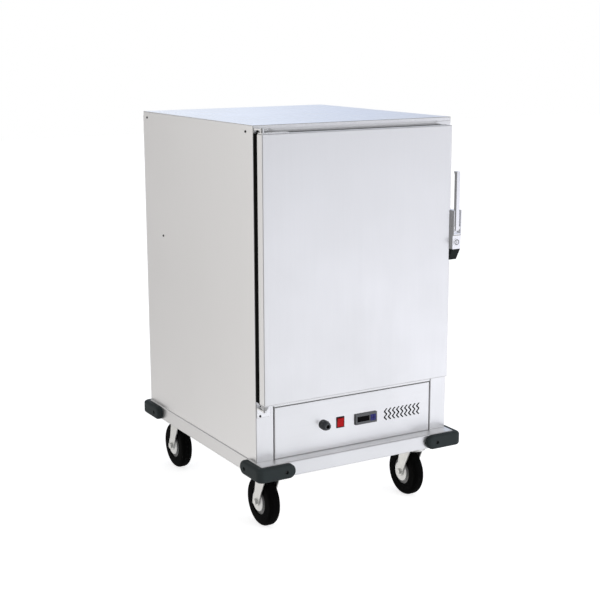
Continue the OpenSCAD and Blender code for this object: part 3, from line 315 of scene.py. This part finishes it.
FINISHES = {
    steel_door: ("door_skin",),
    steel_side: ("side_panel_left", "side_panel_right", "back_panel"),
    steel_top: ("top_panel",),
    steel_platform: ("base_tray",),
    steel_panel: ("front_rails", "control_panel"),
    hinge_steel: ("hinge_brackets", "door_hinge_plates"),
    liner_steel: ("chamber_liner", "plant_deck", "air_cover", "temperature_probe", "rack_uprights",
                  "tray_runners", "door_liner", "fan_impeller", "heater_element"),
    plated_steel: ("castor_rails", "castor_plates", "castor_bolts", "fan_motor", "keeper", "latch_hook",
                   "handle_pins", *(f"castor_fork_{c}" for c in CORNERS)),
    dark_steel: ("casing_screws",),
    bumper_rubber: ("corner_bumpers",),
    gasket_rubber: ("door_gasket",),
    tyre_rubber: tuple(f"castor_tyre_{c}" for c in CORNERS),
    wheel_plastic: tuple(f"castor_wheel_{c}" for c in CORNERS),
    mineral_wool: ("insulation", "door_insulation"),
    black_plastic: ("switch_housing",),
    gland_plastic: ("gland_body", "gland_nut"),
    nose_painted_shade: ("handle_nose",),
    red_plastic: ("switch_rocker",),
    blue_plastic: KEYS,
    grey_plastic: ("controller_body", "terminal_box"),
    display_plastic: ("controller_display",),
    chrome: ("handle_body", "handle_lever", "lock_cylinder", "hinge_pins", "hinge_bushes"),
}
for finish, names in FINISHES.items():
    for name in names:
        NODES[name].data.materials.clear()
        NODES[name].data.materials.append(finish)

# Fittings that stand close to the broad steel faces and would leave dark clouds in them
UNMIRRORED = ("handle_body", "handle_lever", "handle_nose", "handle_pins", "lock_cylinder", "latch_hook",
              "gland_body", "gland_nut", "controller_body", "switch_housing")
for name in UNMIRRORED:
    NODES[name].visible_glossy = False


# Small pieces that dress the solids

# Distance within which two places are the same
SAME = 1e-6


def add_piece(name, shape, body, material):
    """A mesh piece that rides on a body."""
    mesh = bpy.data.meshes.new(name)
    shape.to_mesh(mesh)
    shape.free()
    mesh.materials.append(material)
    piece = bpy.data.objects.new(name, mesh)
    scene.collection.objects.link(piece)
    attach(piece, body)


def near(value, targets):
    return any(abs(value - target) < SAME for target in targets)


# Thin plates lie on the solids, and each reaches this far into what it lies on
PLATE_IN = 0.0003


def add_plate(shape, low, high, axis, side, out):
    """Adds a plate on the face between two corners, on one side along an axis, which stands out by out."""
    low, high = list(low), list(high)
    if side < 0:
        high[axis] = low[axis] + PLATE_IN
        low[axis] -= out
        face = low[axis]
    else:
        low[axis] = high[axis] - PLATE_IN
        high[axis] += out
        face = high[axis]
    made = bmesh.ops.create_cube(shape, size=1.0)["verts"]
    for v in made:
        v.co = Vector([high[k] if v.co[k] > 0 else low[k] for k in (X, Y, Z)])
    rim = [e for e in shape.edges if e.verts[0] in made and all(near(v.co[axis], (face,)) for v in e.verts)]
    bmesh.ops.bevel(shape, geom=rim, offset=out, segments=2, affect="EDGES")


def add_turned(shape, section, middle, steps, closed):
    """Turns a section of (radius, y) points round an axis along Y. An open section gets end caps."""
    rings = []
    for step in range(steps):
        angle = 2.0 * math.pi * step / steps
        rings.append([shape.verts.new((middle.x + radius * math.cos(angle), y,
                                       middle.z + radius * math.sin(angle))) for radius, y in section])
    count = len(section)
    for here, there in zip(rings, rings[1:] + rings[:1]):
        for k in range(count if closed else count - 1):
            after = (k + 1) % count
            shape.faces.new((here[k], there[k], there[after], here[after]))
    if not closed:
        shape.faces.new([ring[0] for ring in rings])
        shape.faces.new([ring[-1] for ring in reversed(rings)])
    bmesh.ops.recalc_face_normals(shape, faces=shape.faces[:])


# Key pad: its border round the keys, room round each key, thickness and rounding
PAD_BORDER = 0.0016
PAD_ROOM = 0.0004
PAD_T = 0.0005
PAD_CORNER = 0.0012
PAD_EDGE = 0.0002
# Decimals to which keys in one row or column have the same place
KEY_DECIMALS = 5
# Least angle, in radians, between the faces at an edge of the pad
RIM_ANGLE = 1.0


def is_corner(edge, ends):
    """True for an edge that runs through the pad at one of its outer corners."""
    return all(near(v.co.x, ends[0]) and near(v.co.z, ends[1]) for v in edge.verts)


def is_rim(edge, front):
    """True for an edge between the pad's front face and one of its walls."""
    return all(near(v.co.y, (front,)) for v in edge.verts) and edge.calc_face_angle(0.0) > RIM_ANGLE


def add_key_pad():
    """Blue surround of the four keys, one plate with a window for each key."""
    boxes = [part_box(name) for name in KEYS]
    width = boxes[0][1].x - boxes[0][0].x
    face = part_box("controller_body")[0].y
    lines = []
    for axis in (X, Z):
        first, second = sorted({round(low[axis], KEY_DECIMALS) for low, high in boxes})
        lines.append((first - PAD_BORDER, first - PAD_ROOM, first + width + PAD_ROOM,
                      second - PAD_ROOM, second + width + PAD_ROOM, second + width + PAD_BORDER))
    shape = bmesh.new()
    grid = [[shape.verts.new((x, face, z)) for z in lines[1]] for x in lines[0]]
    cells = range(len(grid) - 1)
    for i in cells:
        for j in cells:
            if i % 2 == 0 or j % 2 == 0:
                shape.faces.new((grid[i][j], grid[i + 1][j], grid[i + 1][j + 1], grid[i][j + 1]))
    raised = bmesh.ops.extrude_face_region(shape, geom=shape.faces[:])["geom"]
    moved = [v for v in raised if isinstance(v, bmesh.types.BMVert)]
    bmesh.ops.translate(shape, verts=moved, vec=(0.0, -PAD_T, 0.0))
    bmesh.ops.recalc_face_normals(shape, faces=shape.faces[:])
    ends = [(line[0], line[-1]) for line in lines]
    corners = [e for e in shape.edges if is_corner(e, ends)]
    bmesh.ops.bevel(shape, geom=corners, offset=PAD_CORNER, segments=4, affect="EDGES")
    front = [e for e in shape.edges if is_rim(e, face - PAD_T)]
    bmesh.ops.bevel(shape, geom=front, offset=PAD_EDGE, segments=2, affect="EDGES")
    add_piece("key_pad", shape, "cabinet", pad_plastic)


# Covers of the joints between sheets: how far they stand out, half the width of those on the front, how far
# those on the sides run below the joint, and their distance from the folds at the top panel's edges
JOINT_OUT = 0.00008
FRONT_JOINT_HALF = 0.0016
SIDE_JOINT_BELOW = 0.003
FOLD_CLEAR = 0.0035


def add_front_joints():
    """Thin steel covers that close the joints round the upper rail."""
    low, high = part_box("front_rails")
    door_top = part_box("door_skin")[1].z
    half = FRONT_JOINT_HALF
    shape = bmesh.new()
    add_plate(shape, (low.x - half, low.y, high.z - half), (high.x + half, low.y, high.z + half),
              Y, -1, JOINT_OUT)
    for x in (low.x, high.x):
        add_plate(shape, (x - half, low.y, door_top), (x + half, low.y, high.z - half), Y, -1, JOINT_OUT)
    add_piece("front_joints", shape, "cabinet", front_cover_steel)


def add_side_joints():
    """Thin steel covers that close the joint between the top panel and each side."""
    low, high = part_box("top_panel")
    shape = bmesh.new()
    for x, side in ((low.x, -1), (high.x, 1)):
        add_plate(shape, (x, low.y + FOLD_CLEAR, low.z - SIDE_JOINT_BELOW),
                  (x, high.y - FOLD_CLEAR, high.z - FOLD_CLEAR), X, side, JOINT_OUT)
    add_piece("side_joints", shape, "cabinet", side_cover_steel)


# Bead above the control panel: half its width, and how far it stands out
BEAD_HALF = 0.00045
BEAD_OUT = 0.0001


def add_panel_bead():
    """Dark bead in the joint above the control panel."""
    low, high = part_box("control_panel")
    shape = bmesh.new()
    add_plate(shape, (low.x, low.y, high.z - BEAD_HALF), (high.x, low.y, high.z + BEAD_HALF),
              Y, -1, BEAD_OUT)
    add_piece("panel_bead", shape, "cabinet", bead_rubber)


# Outer lip of the gasket, folded over the door's edge: how far it reaches and its thickness
LIP_REACH = 0.006
LIP_T = 0.0004


def add_gasket_lip():
    """Black lip over the back of the door's edge, left open where the handle grips the edge."""
    low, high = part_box("door_skin")
    handle_low, handle_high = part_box("handle_body")
    front = high.y - LIP_REACH
    shape = bmesh.new()
    add_plate(shape, (low.x, front, low.z), (low.x, high.y, high.z), X, -1, LIP_T)
    for bottom, top in ((low.z, handle_low.z), (handle_high.z, high.z)):
        add_plate(shape, (high.x, front, bottom), (high.x, high.y, top), X, 1, LIP_T)
    add_plate(shape, (low.x, front, low.z), (high.x, high.y, low.z), Z, -1, LIP_T)
    add_plate(shape, (low.x, front, high.z), (high.x, high.y, high.z), Z, 1, LIP_T)
    add_piece("gasket_lip", shape, "door", gasket_rubber)


# Seal in the cable gland's mouth: its radius, how deep it is set, thickness, dish and steps round
SEAL_R = 0.0062
SEAL_DEPTH = 0.0012
SEAL_T = 0.0015
SEAL_DISH = 0.0012
SEAL_STEPS = 40
# Points of the seal's face, from its edge inwards, as shares of its radius and of its dish
SEAL_FACE = ((0.93, 0.0), (0.70, 0.5), (0.35, 0.9))


def add_gland_seal():
    """Black rubber seal, dished, that closes the mouth of the gland while it holds no cable."""
    low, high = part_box("gland_nut")
    front = low.y + SEAL_DEPTH
    section = ((SEAL_R, front + SEAL_T), (SEAL_R, front + SEAL_T / 4),
               *((SEAL_R * share, front + SEAL_DISH * drop) for share, drop in SEAL_FACE))
    shape = bmesh.new()
    add_turned(shape, section, (low + high) / 2, SEAL_STEPS, closed=False)
    add_piece("gland_seal", shape, "cabinet", gasket_rubber)


# Rim of the lock's face: its width, how far it stands out, how deep it is set in and its steps round
LOCK_RIM_W = 0.0023
LOCK_RIM_OUT = 0.0003
LOCK_RIM_IN = 0.0004
LOCK_STEPS = 48
# Key slot in the lock's face: half its width, its height as a share of the face, and how far it stands out
SLOT_HALF = 0.0008
SLOT_SHARE = 0.5
SLOT_OUT = 0.0001


def add_lock_rim():
    """Dark rim round the lock's face, rounded in section, and the mark of its key slot."""
    low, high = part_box("lock_cylinder")
    middle = (low + high) / 2
    outer = (high.x - low.x) / 2
    inner = outer - LOCK_RIM_W
    round_in = LOCK_RIM_W / 4
    face, front, back = low.y, low.y - LOCK_RIM_OUT, low.y + LOCK_RIM_IN
    section = ((inner, back), (inner, face), (inner + round_in, front),
               (outer - round_in, front), (outer, face), (outer, back))
    shape = bmesh.new()
    add_turned(shape, section, middle, LOCK_STEPS, closed=True)
    for polygon in shape.faces:
        polygon.smooth = True
    reach = outer * SLOT_SHARE
    add_plate(shape, (middle.x - SLOT_HALF, face, middle.z - reach),
              (middle.x + SLOT_HALF, face, middle.z + reach), Y, -1, SLOT_OUT)
    add_piece("lock_rim", shape, "lock", dark_steel)


add_key_pad()
add_front_joints()
add_side_joints()
add_panel_bead()
add_gasket_lip()
add_gland_seal()
add_lock_rim()


# Camera, light and floor

# Camera: its place and aim, its roll, its lens and sensor in millimetres, and how far it sees
CAMERA_AT = Vector((-2.0521, -3.5687, 1.5207))
CAMERA_TO = Vector((-0.0219, -0.0662, 0.6566))
CAMERA_ROLL = math.radians(-0.176)
CAMERA_LENS = 75.96
SENSOR_WIDTH = 36.0
CAMERA_END = 100.0


def aimed(place, target):
    """Places something and turns its -Z towards the target."""
    turn = (target - place).to_track_quat("-Z", "Y").to_matrix().to_4x4()
    return Matrix.Translation(place) @ turn


def add_camera():
    data = bpy.data.cameras.new("camera")
    data.lens = CAMERA_LENS
    data.sensor_width = SENSOR_WIDTH
    data.clip_end = CAMERA_END
    camera = bpy.data.objects.new("camera", data)
    scene.collection.objects.link(camera)
    camera.matrix_world = aimed(CAMERA_AT, CAMERA_TO) @ Matrix.Rotation(CAMERA_ROLL, 4, "Z")
    scene.camera = camera


# Point that the lamps face, and each lamp's name, place, width, power in watts and colour
LIT_POINT = Vector((0.0, 0.0, 0.65))
LAMPS = (
    ("key", (1.6, -4.4, 1.4), 2.5, 45.0, (1.0, 1.0, 1.0)),
    ("overhead", (0.6, 0.4, 4.2), 2.6, 8.0, (0.85, 0.92, 1.0)),
    ("fill", (-3.8, -1.0, 0.9), 2.5, 6.5, (1.0, 0.97, 0.93)))


def add_lamp(name, place, width, power, colour):
    """Round soft light that the steel doesn't mirror."""
    data = bpy.data.lights.new(name, "AREA")
    data.shape = "DISK"
    data.size = width
    data.energy = power
    data.color = colour
    light = bpy.data.objects.new(name, data)
    light.visible_glossy = False
    scene.collection.objects.link(light)
    light.matrix_world = aimed(Vector(place), LIT_POINT)


# Surroundings that the steel mirrors and that light the object, as rings round it. Each ring gives red,
# green and blue at one height, by degrees round from straight out of the door, positive to its right
FLOOR_RING = (
    (-180, 0.30, 0.30, 0.30), (-160, 0.62, 0.61, 0.60), (-140, 1.25, 1.23, 1.21), (-105, 1.10, 1.08, 1.06),
    (-80, 0.4, 0.4, 0.4), (-65, 0.22, 0.22, 0.22), (-15, 0.30, 0.30, 0.30), (5, 0.65, 0.66, 0.67),
    (29, 0.86, 0.88, 0.90), (45, 1.15, 1.17, 1.20), (62, 0.92, 0.93, 0.95), (85, 0.60, 0.60, 0.60),
    (112, 0.35, 0.35, 0.35), (143, 0.7, 0.7, 0.7), (180, 0.30, 0.30, 0.30))
LOW_RING = (
    (-180, 0.35, 0.35, 0.35), (-170, 0.10, 0.10, 0.10), (-160, 0.40, 0.39, 0.38), (-150, 0.86, 0.84, 0.82),
    (-140, 1.05, 1.03, 1.01), (-105, 0.95, 0.93, 0.91), (-80, 0.4, 0.4, 0.4), (-65, 0.25, 0.25, 0.25),
    (-15, 0.30, 0.30, 0.30), (5, 0.75, 0.76, 0.79), (29, 1.12, 1.13, 1.21), (40, 1.56, 1.57, 1.71),
    (50, 1.42, 1.43, 1.55), (65, 0.98, 0.99, 1.04), (85, 0.70, 0.71, 0.72), (112, 0.35, 0.35, 0.35),
    (143, 0.7, 0.72, 0.8), (165, 0.4, 0.4, 0.4), (180, 0.35, 0.35, 0.35))
LEVEL_RING = (
    (-180, 0.28, 0.28, 0.28), (-172, 0.02, 0.02, 0.02), (-161, 0.02, 0.02, 0.02), (-151, 1.20, 1.175, 1.15),
    (-140, 1.12, 1.10, 1.08), (-125, 0.95, 0.93, 0.91), (-105, 0.92, 0.90, 0.88), (-80, 0.35, 0.35, 0.35),
    (-65, 0.20, 0.20, 0.20), (-15, 0.20, 0.20, 0.20), (5, 0.32, 0.33, 0.34), (29, 0.36, 0.37, 0.39),
    (40, 0.70, 0.71, 0.77), (60, 0.92, 0.93, 0.98), (85, 0.60, 0.61, 0.62), (112, 0.35, 0.35, 0.35),
    (130, 0.48, 0.49, 0.54), (141, 0.60, 0.64, 0.77), (147, 0.63, 0.70, 0.88), (153, 0.88, 0.955, 1.11),
    (158, 1.01, 1.06, 1.16), (166, 0.74, 0.76, 0.79), (180, 0.28, 0.28, 0.28))
RAISED_RING = (
    (-180, 0.20, 0.20, 0.21), (-135, 0.90, 0.88, 0.86), (-105, 0.85, 0.83, 0.81), (-80, 0.35, 0.35, 0.35),
    (-65, 0.25, 0.25, 0.25), (-15, 0.30, 0.30, 0.30), (5, 0.75, 0.75, 0.78), (29, 1.05, 1.06, 1.10),
    (60, 0.95, 0.96, 1.00), (85, 0.60, 0.61, 0.62), (112, 0.35, 0.35, 0.35), (137, 0.66, 0.71, 0.80),
    (153, 0.95, 1.02, 1.16), (166, 0.80, 0.82, 0.85), (180, 0.20, 0.20, 0.21))
HIGH_RING = (
    (-180, 0.30, 0.31, 0.34), (-120, 0.30, 0.30, 0.30), (-30, 0.22, 0.22, 0.22), (28, 0.50, 0.50, 0.52),
    (60, 0.18, 0.18, 0.19), (115, 0.18, 0.18, 0.19), (150, 0.55, 0.60, 0.70), (180, 0.30, 0.31, 0.34))
# Each ring with the heights between which it takes over from what is below it. A height is the sine of the
# angle above the horizon
RINGS = ((FLOOR_RING, (-0.85, -0.60)), (LOW_RING, (-0.37, -0.28)), (LEVEL_RING, (-0.20, -0.03)),
         (RAISED_RING, (0.10, 0.25)), (HIGH_RING, (0.45, 0.75)))
# Colour straight below the lowest ring, and that of the background
BELOW = (0.55, 0.55, 0.55, 1.0)
WHITE = (1.0, 1.0, 1.0, 1.0)


def add_world():
    """Surroundings that are plain white to the camera and through clear things."""
    world = bpy.data.worlds.new("studio")
    scene.world = world
    world.use_nodes = True
    tree = world.node_tree
    background = tree.nodes["Background"]

    def math_node(operation, *values):
        made = tree.nodes.new("ShaderNodeMath")
        made.operation = operation
        for socket, value in zip(made.inputs, values):
            if isinstance(value, float):
                socket.default_value = value
            else:
                tree.links.new(value, socket)
        return made.outputs["Value"]

    def ring(turn, stops):
        made = tree.nodes.new("ShaderNodeValToRGB")
        points = made.color_ramp.elements
        while len(points) < len(stops):
            points.new(1.0)
        for point, (degrees, *colour) in zip(points, stops):
            point.position = degrees / 360.0 + 0.5
            point.color = (*colour, 1)
        tree.links.new(turn, made.inputs["Fac"])
        return made.outputs["Color"]

    def blend(factor, a, b):
        made = tree.nodes.new("ShaderNodeMix")
        made.data_type = "RGBA"
        tree.links.new(factor, made.inputs["Factor"])
        for socket, value in (("A", a), ("B", b)):
            if isinstance(value, tuple):
                made.inputs[socket].default_value = value
            else:
                tree.links.new(value, made.inputs[socket])
        return made.outputs["Result"]

    def rise(height, limits):
        made = tree.nodes.new("ShaderNodeMapRange")
        made.inputs["From Min"].default_value, made.inputs["From Max"].default_value = limits
        tree.links.new(height, made.inputs["Value"])
        return made.outputs["Result"]

    split = tree.nodes.new("ShaderNodeSeparateXYZ")
    tree.links.new(tree.nodes.new("ShaderNodeTexCoord").outputs["Generated"], split.inputs["Vector"])
    across, away, height = split.outputs
    turn = math_node("ARCTAN2", across, math_node("MULTIPLY", away, -1.0))
    turn = math_node("ADD", math_node("DIVIDE", turn, 2.0 * math.pi), 0.5)
    room = BELOW
    for stops, limits in RINGS:
        room = blend(rise(height, limits), room, ring(turn, stops))
    path = tree.nodes.new("ShaderNodeLightPath").outputs
    seen = math_node("MAXIMUM", path["Is Camera Ray"], path["Is Transmission Ray"])
    tree.links.new(blend(seen, room, WHITE), background.inputs["Color"])


# Half the floor's width, its colour and roughness, and the light that lifts it to white for the camera
FLOOR_HALF = 14.0
FLOOR_COLOUR = (0.80, 0.80, 0.80)
FLOOR_ROUGHNESS = 0.9
FLOOR_GLOW = 0.75


def add_floor():
    """Pale floor, white to the camera except in the object's shadow. Glossy rays pass through it."""
    mesh = bpy.data.meshes.new("floor")
    corners = [(x * FLOOR_HALF, y * FLOOR_HALF, 0.0) for x, y in ((-1, -1), (1, -1), (1, 1), (-1, 1))]
    mesh.from_pydata(corners, [], [(0, 1, 2, 3)])
    floor = bpy.data.objects.new("floor", mesh)
    scene.collection.objects.link(floor)
    made = Surface("floor", FLOOR_COLOUR, FLOOR_ROUGHNESS, specular=0.0)
    made.shader.inputs["Emission Color"].default_value = WHITE
    path = made.node("ShaderNodeLightPath").outputs
    made.link(made.spread(path["Is Camera Ray"], 0.0, FLOOR_GLOW, 0.0, 1.0),
              made.shader.inputs["Emission Strength"])
    clear = made.node("ShaderNodeBsdfTransparent")
    pick = made.node("ShaderNodeMixShader")
    made.link(path["Is Glossy Ray"], pick.inputs["Fac"])
    made.link(made.shader.outputs["BSDF"], pick.inputs[1])
    made.link(clear.outputs["BSDF"], pick.inputs[2])
    made.link(pick.outputs["Shader"], made.tree.nodes["Material Output"].inputs["Surface"])
    mesh.materials.append(made.material)


add_camera()
add_world()
add_floor()
for lamp in LAMPS:
    add_lamp(*lamp)
scene.view_settings.view_transform = "Standard"
